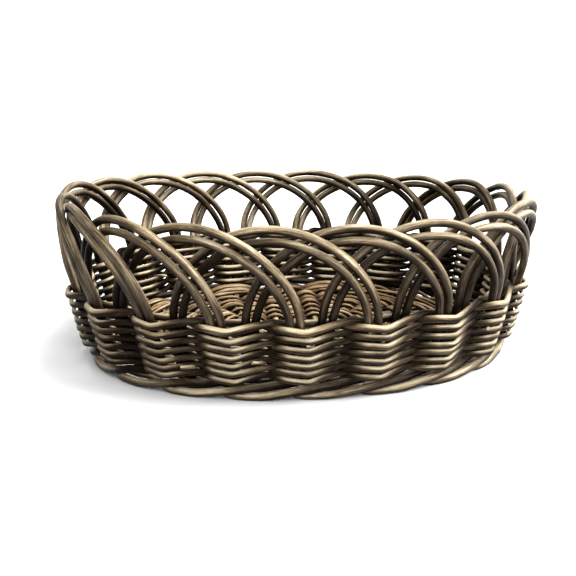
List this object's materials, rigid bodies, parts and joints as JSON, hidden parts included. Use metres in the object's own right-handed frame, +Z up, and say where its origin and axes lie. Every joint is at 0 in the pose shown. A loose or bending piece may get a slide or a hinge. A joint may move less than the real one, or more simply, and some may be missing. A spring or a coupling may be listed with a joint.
{
  "type": "fruit basket",
  "caption": "Oval woven willow fruit basket with a low twined wall, a rolled foot and an open scalloped border of overlapping arches.",
  "frame": {"origin": "middle of the surface the basket stands on", "axes": "+X along the basket's length, +Y across its width, +Z up"},
  "size_m": [0.4048, 0.3363, 0.1417],
  "materials": {
    "stakes": "satin",
    "wall_strands": "satin",
    "top_strands": "satin",
    "base_sticks": "satin",
    "base_strands": "satin"
  },
  "bodies": {
    "root": {"stake_pair_01": "stakes", "stake_pair_02": "stakes", "stake_pair_03": "stakes", "stake_pair_04": "stakes", "stake_pair_05": "stakes", "stake_pair_06": "stakes", "stake_pair_07": "stakes", "stake_pair_08": "stakes", "stake_pair_09": "stakes", "stake_pair_10": "stakes", "stake_pair_11": "stakes", "stake_pair_12": "stakes", "stake_pair_13": "stakes", "stake_pair_14": "stakes", "stake_pair_15": "stakes", "stake_pair_16": "stakes", "stake_pair_17": "stakes", "stake_pair_18": "stakes", "stake_pair_19": "stakes", "stake_pair_20": "stakes", "wall_row_1": "wall_strands", "wall_row_2": "wall_strands", "wall_row_3": "wall_strands", "wall_row_4": "wall_strands", "wall_row_5": "wall_strands", "wall_row_6": "wall_strands", "wall_row_top": "top_strands", "base_cross_sticks": "base_sticks", "base_long_sticks": "base_sticks", "base_end_sticks": "base_sticks", "base_rows_over": "base_strands", "base_rows_under": "base_strands"}
  },
  "joints": []
}
